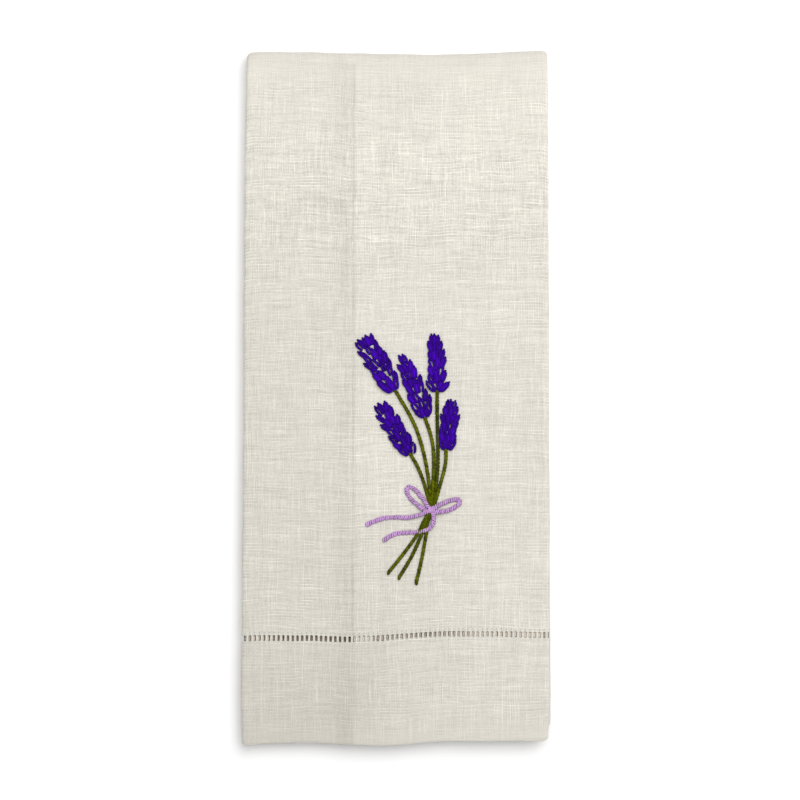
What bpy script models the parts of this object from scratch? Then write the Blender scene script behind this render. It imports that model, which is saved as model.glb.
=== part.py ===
"""Tea towel: one length of hemstitched linen, folded in three lengthwise and then in half, lying face up.

Metres, +Z up. X runs across the folded towel and +Y points from its hem to its top fold. The origin is at the
middle of the outline, on the surface that the towel lies on.
"""

import math

import bmesh
import bpy
from mathutils import Vector

MM = 0.001

# The cloth as it was cut and hemmed, before it was folded
CLOTH_WIDTH = 330 * MM
CLOTH_LENGTH = 560 * MM
CLOTH_THICK = 1.0 * MM
HEM_DEPTH = 42.2 * MM  # from the hem's edge to the ladder of drawn threads
LADDER_HEIGHT = 2.6 * MM
LADDER_SLOPE = 0.8 * MM  # how far the cloth thins towards the ladder
LADDER_THIN = 0.5  # the ladder's thickness as a share of the cloth's

# The stack: six layers over the inner flap, and four beside it
LAYER_PITCH = 1.4 * MM
HALF_STACK = 2.5 * LAYER_PITCH  # from the middle of the stack to its outermost layer
HALF_STACK_LOW = HALF_STACK - 0.6 * MM
FLAP_WIDTH = 79.4 * MM  # the right flap, from its fold to its free edge
CREASE_WIDTH = 8 * MM  # how soon the face drops beyond the right flap's edge
TUCK = 2.8 * MM  # how far the left flap's free edge stays from the right fold

# How deep each layer lies, from 0 at the middle of the stack to 1 at its outside
FACE_DEPTH = 1.0
RIGHT_FLAP_DEPTH = 0.6
LEFT_FLAP_DEPTH = 0.2
LEFT_FLAP_DEPTH_LOW = 1 / 3

# Swelling of the folded edges, where the linen springs open
TOP_SWELL = 0.5 * MM
SIDE_SWELL = 0.25 * MM
SWELL_REACH = 14 * MM

# The outline, in millimetres: height up the towel, the face's left and right edge, and the same for the half below
SIDE_EDGES = (
    {"y": -142.0, "left": -63.4, "right": 62.4, "left_below": -62.6, "right_below": 63.7},
    {"y": -128.0, "left": -63.7, "right": 62.8, "left_below": -62.8, "right_below": 63.7},
    {"y": -80.0, "left": -63.3, "right": 62.9, "left_below": -62.6, "right_below": 63.5},
    {"y": -20.0, "left": -62.8, "right": 62.8, "left_below": -62.3, "right_below": 63.2},
    {"y": 40.0, "left": -62.7, "right": 62.7, "left_below": -62.4, "right_below": 62.9},
    {"y": 100.0, "left": -62.1, "right": 62.5, "left_below": -62.0, "right_below": 62.6},
    {"y": 143.0, "left": -61.3, "right": 62.1, "left_below": -61.3, "right_below": 62.1},
)
# In millimetres from the left edge: where the hem's edge and the top fold lie
END_EDGES = (
    {"x": 0.0, "hem": -143.2, "top": 142.3},
    {"x": 14.0, "hem": -142.1, "top": 142.4},
    {"x": 30.0, "hem": -142.0, "top": 142.3},
    {"x": 45.0, "hem": -142.7, "top": 141.8},
    {"x": 62.0, "hem": -142.8, "top": 141.6},
    {"x": 80.0, "hem": -141.3, "top": 141.3},
    {"x": 100.0, "hem": -141.2, "top": 142.0},
    {"x": 124.0, "hem": -141.0, "top": 143.2},
)
BACK_EDGE = -130.4 * MM  # where the underside's own hem edge lies

# How finely each stretch is divided
FLAP_STEPS = 5
FOLD_STEPS = 6
FACE_STATIONS = (0.0, 0.12, 0.26, 0.4, 0.52, 0.64, 0.664, 0.688, 0.712, 0.8, 0.9, 1.0)
LEFT_FLAP_STATIONS = (0.0, 0.12, 0.24, 0.29, 0.315, 0.34, 0.366, 0.5, 0.62, 0.74, 0.87, 1.0)
BODY_STEPS = 12
TOP_FOLD_STEPS = 8
BACK_STEPS = 9

LINEN_COLOUR = (0.76, 0.735, 0.655, 1.0)


def clear_scene():
    for old in list(bpy.data.objects):
        bpy.data.objects.remove(old)


def smooth(value):
    value = min(1.0, max(0.0, value))
    return value * value * (3 - 2 * value)


def read_table(table, key, column, value):
    """The column's size at this place in the table, on a smooth curve through its rows."""
    rows = [(row[key] * MM, row[column] * MM) for row in table]
    value = min(rows[-1][0], max(rows[0][0], value))
    index = next(i for i in range(1, len(rows)) if value <= rows[i][0])
    (start, low), (end, high) = rows[index - 1], rows[index]
    before, after = rows[max(0, index - 2)], rows[min(len(rows) - 1, index + 1)]
    span = end - start
    slope_in = (high - before[1]) / (end - before[0]) * span
    slope_out = (after[1] - low) / (after[0] - start) * span
    t = (value - start) / span
    return (
        low * (2 * t**3 - 3 * t**2 + 1)
        + slope_in * (t**3 - 2 * t**2 + t)
        + high * (3 * t**2 - 2 * t**3)
        + slope_out * (t**3 - t**2)
    )


def side_edges(y, below):
    """The folded strip's left and right edge at height y, part of the way from the face to the half below."""
    found = []
    for side in ("left", "right"):
        face = read_table(SIDE_EDGES, "y", side, y)
        underneath = read_table(SIDE_EDGES, "y", side + "_below", y)
        found.append(face + (underneath - face) * below)
    return found


def rise(x, crease):
    """0 beside the right flap and 1 over it."""
    return smooth((x - crease + CREASE_WIDTH) / CREASE_WIDTH)


def half_stack(x, y, left, right, crease):
    """Half the stack's height at this place, between its outermost layers' middles."""
    to_side = max(0.0, min(x - left, right - x))
    to_top = max(0.0, read_table(END_EDGES, "x", "top", x - left) - y)
    return (
        HALF_STACK_LOW
        + (HALF_STACK - HALF_STACK_LOW) * rise(x, crease)
        + SIDE_SWELL * math.exp(-to_side / SWELL_REACH)
        + TOP_SWELL * math.exp(-to_top / SWELL_REACH)
    )


def crosswise_stations():
    """The cloth's columns, as (stretch, share of it), from the right flap's free edge to the left flap's."""
    stations = [("right flap", i / FLAP_STEPS) for i in range(FLAP_STEPS + 1)]
    stations += [("right fold", i / FOLD_STEPS) for i in range(1, FOLD_STEPS)]
    stations += [("face", share) for share in FACE_STATIONS]
    stations += [("left fold", i / FOLD_STEPS) for i in range(1, FOLD_STEPS)]
    stations += [("left flap", share) for share in LEFT_FLAP_STATIONS]
    return stations


def lengthwise_stations():
    """The cloth's rows, as (stretch, place), from the hem's edge over the top fold to the back edge.

    A place is metres from the hem's edge on the hem, and a share of the stretch beyond it.
    """
    ladder_top = HEM_DEPTH + LADDER_HEIGHT
    hem_rows = (0.0, HEM_DEPTH / 2, HEM_DEPTH - LADDER_SLOPE, HEM_DEPTH, ladder_top, ladder_top + LADDER_SLOPE)
    stations = [("hem", row) for row in hem_rows]
    stations += [("body", i / BODY_STEPS) for i in range(1, BODY_STEPS + 1)]
    stations += [("top fold", i / TOP_FOLD_STEPS) for i in range(1, TOP_FOLD_STEPS)]
    stations += [("back", i / BACK_STEPS) for i in range(BACK_STEPS + 1)]
    return stations


def across(stretch, share, y, below):
    """Where a column lies across the folded strip: (x, depth, half the stack's height there, left edge)."""
    left, right = side_edges(y, below)
    right_axis = right - CLOTH_THICK / 2 - HALF_STACK * (FACE_DEPTH - RIGHT_FLAP_DEPTH) / 2
    left_axis = left + CLOTH_THICK / 2 + HALF_STACK_LOW * (FACE_DEPTH - LEFT_FLAP_DEPTH_LOW) / 2
    crease = right_axis - FLAP_WIDTH
    if stretch == "right flap":
        x = crease + FLAP_WIDTH * share
        depth = RIGHT_FLAP_DEPTH
    elif stretch == "right fold":
        half = half_stack(right_axis, y, left, right, crease)
        radius = (FACE_DEPTH - RIGHT_FLAP_DEPTH) / 2
        x = right_axis + radius * half * math.sin(math.pi * share)
        depth = RIGHT_FLAP_DEPTH + radius * (1 - math.cos(math.pi * share))
        return x, depth, half, left
    elif stretch == "face":
        x = right_axis + (left_axis - right_axis) * share
        depth = FACE_DEPTH
    elif stretch == "left fold":
        half = half_stack(left_axis, y, left, right, crease)
        radius = (FACE_DEPTH - LEFT_FLAP_DEPTH_LOW) / 2
        x = left_axis - radius * half * math.sin(math.pi * share)
        depth = FACE_DEPTH - radius * (1 - math.cos(math.pi * share))
        return x, depth, half, left
    else:
        x = left_axis + (right_axis - TUCK - left_axis) * share
        depth = LEFT_FLAP_DEPTH_LOW + (LEFT_FLAP_DEPTH - LEFT_FLAP_DEPTH_LOW) * rise(x, crease)
    return x, depth, half_stack(x, y, left, right, crease), left


def folded(column, row):
    """The place of a point of the cloth's middle surface once the towel is folded."""
    stretch, place = row
    top_row = read_table(END_EDGES, "x", "top", CLOTH_WIDTH / 6)
    hem_row = read_table(END_EDGES, "x", "hem", CLOTH_WIDTH / 6)
    hem_top = HEM_DEPTH + LADDER_HEIGHT + LADDER_SLOPE
    rough_y = {
        "hem": hem_row + place,
        "body": hem_row + hem_top + (top_row - HALF_STACK - hem_row - hem_top) * place,
        "top fold": top_row - HALF_STACK,
        "back": top_row - HALF_STACK + (BACK_EDGE - top_row + HALF_STACK) * place,
    }[stretch]
    below = {"hem": 0.0, "body": 0.0, "top fold": place, "back": 1.0}[stretch]
    x, depth, half, left = across(*column, rough_y, below)
    hem_edge = read_table(END_EDGES, "x", "hem", x - left)
    axis_y = read_table(END_EDGES, "x", "top", x - left) - CLOTH_THICK / 2 - half
    radius = depth * half
    middle = CLOTH_THICK / 2 + half
    if stretch == "hem":
        return Vector((x, hem_edge + place, middle + radius))
    if stretch == "body":
        start = hem_edge + hem_top
        return Vector((x, start + (axis_y - start) * place, middle + radius))
    if stretch == "top fold":
        turn = math.pi * place
        return Vector((x, axis_y + radius * math.sin(turn), middle + radius * math.cos(turn)))
    slack = math.pi * (half - radius)  # an inner layer takes a shorter way round the fold
    end = BACK_EDGE - slack
    return Vector((x, axis_y + (end - axis_y) * place, middle - radius))


def linen():
    material = bpy.data.materials.new("linen")
    material.use_nodes = True
    shader = material.node_tree.nodes["Principled BSDF"]
    shader.inputs["Base Color"].default_value = LINEN_COLOUR
    shader.inputs["Roughness"].default_value = 0.85
    shader.inputs["Metallic"].default_value = 0.0
    return material


def thin_ladder(towel, rows, columns):
    """Weights every point with its share of the cloth's thickness, which is less in the ladder."""
    group = towel.vertex_groups.new(name="thickness")
    for index in range(len(rows) * columns):
        stretch, place = rows[index // columns]
        in_ladder = stretch == "hem" and HEM_DEPTH <= place <= HEM_DEPTH + LADDER_HEIGHT
        group.add([index], LADDER_THIN if in_ladder else 1.0, "REPLACE")


def make_towel():
    columns = crosswise_stations()
    rows = lengthwise_stations()
    cloth = bmesh.new()
    bmesh.ops.create_grid(cloth, x_segments=len(columns) - 1, y_segments=len(rows) - 1, size=1.0)
    cloth.verts.ensure_lookup_table()
    for index, vertex in enumerate(cloth.verts):
        vertex.co = folded(columns[index % len(columns)], rows[index // len(columns)])
    bmesh.ops.recalc_face_normals(cloth, faces=cloth.faces)
    mesh = bpy.data.meshes.new("towel")
    cloth.to_mesh(mesh)
    cloth.free()
    mesh.shade_smooth()
    towel = bpy.data.objects.new("towel", mesh)
    bpy.context.scene.collection.objects.link(towel)
    towel.data.materials.append(linen())
    thin_ladder(towel, rows, len(columns))
    solid = towel.modifiers.new("cloth thickness", "SOLIDIFY")
    solid.thickness = CLOTH_THICK
    solid.offset = 0.0
    solid.vertex_group = "thickness"
    return towel


clear_scene()
make_towel()
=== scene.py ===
"""Folded linen tea towel with a hemstitched hem and an embroidered lavender bunch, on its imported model.

Metres, +Z up. X runs across the folded towel and +Y points from its hem to its top fold. A place on the
cloth is two lengths: across, from the right flap's free edge, and along, from the deep hem's edge. Lift is
how far a point stands off the cloth's middle, towards its right side.
"""

import math
import random

import bmesh
import bpy
import numpy as np
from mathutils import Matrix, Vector


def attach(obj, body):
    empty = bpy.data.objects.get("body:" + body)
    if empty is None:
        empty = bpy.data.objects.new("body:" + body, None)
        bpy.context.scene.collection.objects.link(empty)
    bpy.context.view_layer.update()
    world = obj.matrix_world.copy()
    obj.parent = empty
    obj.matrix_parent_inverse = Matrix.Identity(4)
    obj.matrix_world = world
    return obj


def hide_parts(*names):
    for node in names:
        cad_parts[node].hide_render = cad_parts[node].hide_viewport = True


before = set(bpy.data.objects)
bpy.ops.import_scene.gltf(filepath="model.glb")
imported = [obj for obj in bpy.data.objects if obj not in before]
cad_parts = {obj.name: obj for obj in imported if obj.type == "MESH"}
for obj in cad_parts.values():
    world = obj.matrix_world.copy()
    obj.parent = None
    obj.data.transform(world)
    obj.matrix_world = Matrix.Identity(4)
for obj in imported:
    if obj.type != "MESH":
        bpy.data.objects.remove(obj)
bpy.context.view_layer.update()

bl_info = {
    "name": "Hemstitched tea towel",
    "version": (1, 0, 0),
    "blender": (4, 5, 0),
    "location": "View3D > Sidebar > Tea towel",
    "description": "Makes a folded linen tea towel with a drawn ladder and an embroidered lavender bunch",
    "category": "Object",
}

MM = 0.001


def table(names, *rows):
    """Rows of values as dictionaries, by the names of their columns."""
    return tuple(dict(zip(names.split(), row)) for row in rows)


# How much cloth lies in each stretch, across and then along
RIGHT_FLAP = 79.4 * MM
RIGHT_FOLD = 2.4 * MM
FACE = 123.4 * MM
LEFT_FOLD = 3.4 * MM
FRONT = 280.3 * MM
TOP_FOLD = 11.9 * MM
# Where the right fold, the face, the left fold and the left flap start, and where the face is creased
STARTS = np.cumsum((RIGHT_FLAP, RIGHT_FOLD, FACE, LEFT_FOLD))
FACE_START, LEFT_FLAP_START = STARTS[1], STARTS[3]
CREASE_PLACE = FACE_START + RIGHT_FLAP

# The stack of folded layers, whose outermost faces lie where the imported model's do
STACK_HEIGHT = 8.0 * MM
STACK_DROP = 1.2 * MM  # how much lower the stack is beside the right flap
CREASE_WIDTH = 8 * MM
TUCK = 2.8 * MM  # how far short of the right fold the left flap ends
TOP_SWELL = 0.5 * MM
SIDE_SWELL = 0.25 * MM
SWELL_REACH = 14 * MM
BACK_EDGE = -130.4 * MM
# How high each layer lies in the stack, whose middle is 0 and outermost layer 1
FACE_DEPTH = 1.0
RIGHT_FLAP_DEPTH = 0.6
LEFT_FLAP_DEPTH = 0.2
LEFT_FLAP_DEPTH_LOW = 1 / 3
BELOW_LADDER = -0.55  # the half below is raised to here under the ladder
LADDER_ROW = -98.5 * MM  # about where the ladder lies up the towel
UNDER_LADDER = (518 * MM, 539 * MM)  # how far along the cloth the half below passes it
# How much nearer the flaps lie to the face around the ladder, and how far from its middle that is felt
FLAP_LIFT = {"right": 0.265, "side_hem": 0.12, "left": 0.48, "level": 1.5 * MM, "reach": 6.5 * MM}
FOLD_FADE = 3 * MM  # how far from a fold it takes to grow
HEM_FADE = 2 * MM
# How much further up the right flap's ladder lies than the face's, and how far that takes to fade towards
# the flap's free edge, towards its fold and above the ladder
FLAP_SKEW = {"by": 0.55 * MM, "edge": 16 * MM, "fold": 30 * MM, "above": 40 * MM, "fade": 30 * MM}
# Painted light: how much lighter the flaps are painted around the ladder near the folds. It grows over the
# reach, from so far from the right and the left flap's free edge, and fades so far from the left fold.
PAINTED_LIGHT = {"by": 0.42, "reach": 45 * MM, "right": 30 * MM, "left": 50 * MM, "fold": 65 * MM}
PAINTED_LIGHT_BAND = {"high": 8 * MM, "fade": 4 * MM}
# How much fuller the ladder's bundles are near the right fold, on the face and on the flap under it, and
# how much thinner the flap's are at one place further in
FULLER = {"face": 0.08, "flap": 0.42, "reach": 44 * MM, "fade": 8 * MM}
THINNER = {"by": 0.45, "away": 51.5 * MM, "wide": 5.5 * MM}
BUNDLE_START = 0.25 * MM  # from the side hem's edge to the first bundle
BUNDLE_GRIP = 0.5 * MM  # how far a bundle reaches into the cloth at each end
# The hemstitch: how far its wraps lie outside the ladder's edge and bend down, and how deep its stitches end
HEMSTITCH = {"outside": 0.08 * MM, "bend": 0.12 * MM, "dive": 0.4 * MM}
# The hems' sewing: how far in from their inner edges, and where each line of it starts and ends
SEWING = {"inset": 0.9 * MM, "start": 6 * MM, "end": 4 * MM}

# The outline, in millimetres: height up the towel, the face's left and right edge, and the half below's
SIDE_EDGES = table(
    "y left right left_below right_below",
    (-142.0, -63.4, 62.4, -62.6, 63.7),
    (-128.0, -63.7, 62.8, -62.8, 63.7),
    (-80.0, -63.3, 62.9, -62.6, 63.5),
    (-20.0, -62.8, 62.8, -62.3, 63.2),
    (40.0, -62.7, 62.7, -62.4, 62.9),
    (100.0, -62.1, 62.5, -62.0, 62.6),
    (143.0, -61.3, 62.1, -61.3, 62.1),
)
# In millimetres from the left edge: where the hem's edge, the ladder's middle and the top fold lie
END_EDGES = table(
    "x hem ladder top",
    (0.0, -143.2, -99.0, 142.3),
    (14.0, -142.1, -99.0, 142.4),
    (30.0, -142.0, -99.1, 142.3),
    (45.0, -142.7, -99.4, 141.8),
    (62.0, -142.8, -98.5, 141.6),
    (80.0, -141.3, -97.4, 141.3),
    (100.0, -141.2, -97.3, 142.0),
    (124.0, -141.0, -97.5, 143.2),
)
CORNER_REACH = 2.6 * MM  # how far from a side fold the corners begin to round off
HEM_CORNER = 1.2 * MM
TOP_CORNER = 0.9 * MM
HEM_CORNER_FADE = 9 * MM  # how far up the side the hem's rounded corner is still felt

# Soft troughs (below 0) and ridges on the face, in millimetres: their two ends, half width and height
CREASES = table(
    "x1 y1 x2 y2 width height",
    (60.5, 34.0, 50.0, -20.0, 4.0, -0.26),
    (50.0, -20.0, 45.5, -58.0, 3.5, -0.30),
    (45.5, -58.0, 52.0, -84.0, 3.5, -0.22),
    (-60.0, 6.0, -58.0, -60.0, 3.0, -0.18),
    (30.0, -137.0, 48.0, -127.0, 2.2, 0.20),
    (14.0, -128.0, 36.0, -121.0, 1.8, 0.12),
    (-30.0, -112.0, -26.0, -137.0, 3.0, -0.24),
    (-58.0, 134.5, 60.0, 134.5, 2.6, 0.10),
    (8.0, 30.0, 26.0, 26.0, 2.4, -0.10),
    (-54.0, 96.0, -30.0, 84.0, 4.0, 0.10),
)
BROAD_WAVES = {"size": 26 * MM, "height": 0.11 * MM, "seed": 3}
SMALL_WAVES = {"size": 8 * MM, "height": 0.035 * MM, "seed": 5}
EDGE_WANDER = {"size": 7 * MM, "height": 0.14 * MM, "seed": 9}
SIDE_WANDER_ROW = 31 * MM
END_WANDER_ROW = 57 * MM
BUNDLE_WANDER = {"size": 15 * MM, "height": 0.6 * MM, "seed": 29}
# Painted shade: the unevenness of the crease's painted dark line
LINE_WAVES = {"size": 11 * MM, "height": 0.5, "seed": 17}  # how uneven the crease's dark line is
FLAP_EDGE_GROOVE = {"width": 0.9 * MM, "depth": 0.22 * MM, "beside": -0.6 * MM}
# The flap's side hem under the face: how high its ridge is, how wide, and how softly each side of it ends
FLAP_HEM_RIDGE = {"height": 0.2 * MM, "width": 10 * MM, "crease_side": 2 * MM, "far_side": 3 * MM}
SIDE_FADE = 6 * MM  # how far from the side folds the face's relief takes to grow
TOP_FADE = 8 * MM
HEM_RIDGE = {"height": 0.1 * MM, "start": 36 * MM, "fade": 2 * MM}  # the deep hem's turned edge

# Painted shade: how much darker the cloth is painted past the flap's edge, in the dip beside it and along its
# line
CREASE_SHADE = {"beyond": 0.027, "dip": 0.035, "reach": 16 * MM, "line": 0.09, "width": 0.45 * MM}
CREASE_SOFT = 0.5 * MM  # how softly the flap's edge ends, on each side of the crease
# Painted shade: how much darker the deep hem is painted, and how much more its part that lies left of the
# crease
HEM_SHADE = {"all": 0.03, "left": 0.05, "reach": 46 * MM}
# Painted shade: how much darker the cloth is painted where it turns over the top
TOP_SHADE = {"dip": 0.16, "start": 276.5 * MM, "reach": 9 * MM}
# Painted light and shade: how much lighter the upper part of the towel is painted, and darker the lower part
# away from its right edge
UPPER_SHADE = {"glow": 0.045, "start": 185 * MM, "reach": 65 * MM}
LOWER_SHADE = {"dip": 0.03, "start": 175 * MM, "reach": 60 * MM, "across": 105 * MM, "fade": 40 * MM}
# Soft places on the face painted lighter (above 0) or darker, as painted light and shade: where on the cloth,
# in millimetres, and how far each reaches. The first lies round the embroidery.
SOFT_PLACES = table(
    "across along wide high glow",
    (144, 119, 26, 27, 0.07),
    (142, 268, 24, 18, -0.035),
    (155, 28, 8, 34, -0.05),
    (194, 170, 14, 10, -0.04),
    (85, 125, 6, 34, -0.035),
    (203, 275, 5, 10, 0.04),
)

# The weave. Scales are noise cells a metre, and every yarn reads the noise in a lane of its own.
YARN_WANDER = {"scale": 55.0, "yarns": 3.2}  # how many yarns sideways they wander
WARP_OFFSET = 11.3
WEFT_OFFSET = 47.9
LANE_STEP = 7.31
CROSSING_STEPS = (5.37, 7.91)
STREAKS = {"scale": 65.0, "weft": 1.3, "mean": 1.15}  # the weft's weight, and the mean of both together
SLUBS = {"scale": 75.0, "from": 0.70, "to": 0.78, "height": 0.35}  # thick places, where the noise is high
PAIRS = {"scale": 120.0, "from": 0.42, "to": 0.62}  # patches where yarns are light and dark in turn
# Painted shade in the small openings between crossing yarns
OPENING_SHADE = 0.3  # how dark the small openings between crossing yarns are
LINEN_BUMP = 0.12 * MM
FLOSS_BUMP = 0.05 * MM
WEAVE_CONTRAST = 1.05
# How the contrast changes along the cloth: between two places in millimetres, from one factor to another
WEAVE_BANDS = table(
    "from to low high",
    (3, 14, 0.58, 1.0),
    (185, 212, 1.0, 1.35),
    (236, 262, 1.0, 0.72),
    (268, 278, 1.0, 0.48),
)
WASHED_LINEN = {"Streaks": 0.22, "Slubs": 0.09, "Pairs": 0.04, "Grain": 0.17}
DOUBLED_LINEN = {"Streaks": 0.20, "Slubs": 0.08, "Pairs": 0.035, "Grain": 0.15}
# The floss: how far apart its filaments are, in millimetres, and how their grain makes its height, which its
# tint follows
FILAMENT = 0.13
FLOSS_GRAIN = {"lane": 0.9, "scale": 700.0, "uneven": 0.6, "round": 0.5, "mean": 0.55}
# Painted warm shade and light on the layers folded in around the ladder, where they show through its holes:
# how far from its row, and from the left flap's two ends
WARM = {"near": 9 * MM, "far": 13 * MM, "start": 3 * MM, "end": 7 * MM, "clear": 4 * MM}
# Painted shade for the holes that the hemstitch pierces: how far from the ladder, how wide, and how dark they
# are painted above and below it
PIERCED = {"beyond": 0.85 * MM, "inner": 0.14 * MM, "outer": 0.42 * MM, "above": 0.34, "below": 0.16}

# The lavender heads, in millimetres on the face: where each begins and ends, how wide it is, its rings of
# petals, how far it bows to its left, how wide its tip is against its middle, how far its lowest petals
# spread, its shade of violet and how far the petals at its tip lean, in degrees
HEADS = table(
    "x1 y1 x2 y2 width rings bow tip base shade tip_leans",
    (-0.8, 2.4, -14.0, 25.0, 10.8, 8, -0.4, 0.84, 1.1, 1.0, (-22, -11, 0, 11, 22)),
    (12.5, -8.0, 2.2, 18.2, 10.6, 8, 0.2, 0.4, 1.0, 1.0, (-10, 8)),
    (17.0, 2.6, 15.6, 26.6, 8.8, 7, -0.3, 0.6, 1.6, 1.1, (-16, 2, 18)),
    (6.0, -23.2, -7.2, -2.0, 9.6, 7, 0.0, 0.75, 1.0, 0.97, (-20, 0, 18)),
    (20.8, -21.6, 22.7, -0.6, 8.8, 7, -0.1, 0.62, 1.2, 0.96, (-16, 0, 16)),
)
# How far the petals of each ring lean from the head's line, in degrees, in turn up the head
RING_LEANS = ((-26, -9, 9, 26), (-23, 2, 22), (-24, -5, 20), (-20, 6, 24))
# The stems, each with its own shade of green, and its way in millimetres on the face: from a head to under
# the bow's knot, or from the knot down
STEMS = table(
    "shade points",
    (1.0, ((-0.6, 3.4), (6.8, -9.5), (10.6, -20.0), (13.1, -32.0), (14.6, -46.0))),
    (1.0, ((11.4, -7.0), (14.6, -17.0), (15.5, -27.0), (14.6, -46.0))),
    (0.6, ((16.9, 3.4), (16.9, -9.0), (17.2, -21.0), (16.9, -32.0), (15.0, -46.0))),
    (0.95, ((5.4, -22.4), (9.0, -28.8), (11.8, -36.2), (14.4, -46.0))),
    (1.05, ((20.5, -20.8), (20.2, -27.6), (17.7, -37.4), (15.1, -46.0))),
    (0.9, ((13.6, -47.0), (11.1, -51.5), (8.6, -56.5), (2.7, -64.6), (-4.2, -73.2))),
    (0.8, ((14.2, -47.0), (11.9, -51.5), (10.2, -56.9), (6.0, -66.0), (0.8, -74.6))),
    (0.9, ((14.9, -47.0), (12.9, -51.5), (12.3, -56.5), (10.4, -67.0), (8.0, -77.1))),
)
# The bow, in millimetres on the face: its loops and tails, each sewn from its first point to its last
LEFT_LOOP = (
    (13.4, -45.2), (10.6, -41.0), (7.4, -37.6), (4.9, -36.8), (4.4, -38.9), (6.2, -41.8), (9.2, -44.4),
    (12.6, -46.6),
)
RIGHT_LOOP = (
    (15.4, -45.4), (18.8, -43.6), (22.6, -42.2), (25.3, -41.9), (26.3, -43.0), (24.6, -44.8), (20.6, -46.6),
    (16.0, -47.0),
)
LEFT_TAIL = (
    (13.0, -46.8), (9.6, -48.2), (4.8, -49.3), (-0.6, -49.2), (-5.0, -49.6), (-9.0, -50.9), (-12.7, -52.5),
)
LOWER_TAIL = (
    (15.2, -47.4), (15.4, -51.0), (13.6, -53.8), (9.6, -55.2), (4.0, -55.5), (-0.8, -56.2), (-5.3, -58.8),
)
BOW_RISE = {"height": 1.0 * MM, "reach": 14 * MM, "below": 3.0}  # over the stems, from below the knot
KNOT = {"x": 14.6, "y": -46.1, "width": 2.7, "height": 3.2, "stitches": 4}

# How finely the cloth and the threads are divided
FACE_STEP = 1.35 * MM
CREASE_STEP = 0.4 * MM
CREASE_BAND = 3 * MM  # how far on each side of the crease
LADDER_STEPS = (0.5 * MM, 1.2 * MM)  # the first rows of cloth beside the ladder
BRIDGE_OVERLAP = 0.6 * MM  # how far the side hems' bridges past the ladder go under the cloth
BRIDGE_DROP = 0.02 * MM
HIDDEN_STEP = 9.0 * MM
SIDE_HEM_STEP = 2.6 * MM
UNDER_LADDER_STEP = 1.6 * MM
END_HEM_STEP = 3 * MM
TOP_STEP = 0.8 * MM
TOP_BAND = 4 * MM  # how far below the top fold
FOLD_STEPS = 8
TOP_FOLD_STEPS = 12
HEM_TURN_STEPS = 4
STEM_PATH_STEP = 0.4 * MM
BOW_PATH_STEP = 0.3 * MM
JOIN = 0.002 * MM  # points of a thread that lie nearer than this are one


# Sizes and colours that a user would change


def length(name, description, millimetres):
    return bpy.props.FloatProperty(
        name=name, description=description, default=millimetres * MM, min=0.0, unit="LENGTH", precision=4
    )


def colour(name, description, value):
    return bpy.props.FloatVectorProperty(
        name=name, description=description, default=value, subtype="COLOR", size=3, min=0.0, max=1.0
    )


class TowelClothSizes(bpy.types.PropertyGroup):
    """The cloth as it was cut and hemmed."""

    width: length("Width", "Across the cloth before it was folded", 330)
    length: length("Length", "Along the cloth before it was folded", 560)
    thickness: length("Thickness", "One ply of the linen", 0.36)
    ply_pitch: length("Ply pitch", "From one ply of a hem to the next", 0.37)
    hem_depth: length("Hem depth", "From the deep hem's edge to the ladder", 42.2)
    side_hem: length("Side hem", "Width of the narrow hems along the sides", 8)
    end_hem: length("End hem", "Depth of the plain hem at the far end", 11)
    ladder_height: length("Ladder height", "Height of the band of drawn threads", 2.6)
    ladder_pitch: length("Ladder pitch", "From one bundle of drawn threads to the next", 1.94)
    ladder_yarn: length("Ladder yarn", "Thickness of one drawn thread", 0.34)
    warp_pitch: length("Warp pitch", "From one lengthwise thread to the next", 0.485)
    weft_pitch: length("Weft pitch", "From one crosswise thread to the next", 0.615)


class TowelStitchSizes(bpy.types.PropertyGroup):
    """The embroidery and the sewing."""

    petal_length: length("Petal length", "Length of one petal's loop", 5.7)
    petal_width: length("Petal width", "Width of one petal's loop", 2.5)
    floss: length("Floss", "Width of the strand that the petals are sewn with", 1.15)
    stem_width: length("Stem width", "Width of a stem's rope of stitches", 1.58)
    stem_step: length("Stem step", "From one stem stitch to the next", 1.5)
    bow_width: length("Bow width", "Width of the bow's band of stitches", 2.15)
    bow_step: length("Bow step", "From one stitch of the bow to the next", 0.86)
    sewing_thread: length("Sewing thread", "Thickness of the hems' sewing thread", 0.24)
    sewing_step: length("Sewing step", "Length of one stitch of a hem", 2.4)


class TowelColours(bpy.types.PropertyGroup):
    """The colours of the cloth, its threads and the floor."""

    linen: colour("Linen", "The washed white linen", (0.702, 0.673, 0.600))
    # Painted warm shade and light: the colour given to layers and bundles seen through the ladder's holes
    warm_hole_shade: colour("Hidden linen", "The linen between the layers, lit through them", (0.77, 0.68, 0.58))
    sewing: colour("Sewing thread", "The white thread of the hemstitch and the hems", (0.85, 0.825, 0.75))
    petals: colour("Petals", "The violet floss", (0.037, 0.0005, 0.268))
    stems: colour("Stems", "The green floss", (0.094, 0.111, 0.0005))
    bow: colour("Bow", "The lilac floss", (0.62, 0.365, 0.70))
    floor: colour("Floor", "The pale floor", (0.97, 0.97, 0.97))


# Where the cloth lies once it is folded


def smooth(value):
    value = np.clip(value, 0.0, 1.0)
    return value * value * (3 - 2 * value)


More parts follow.
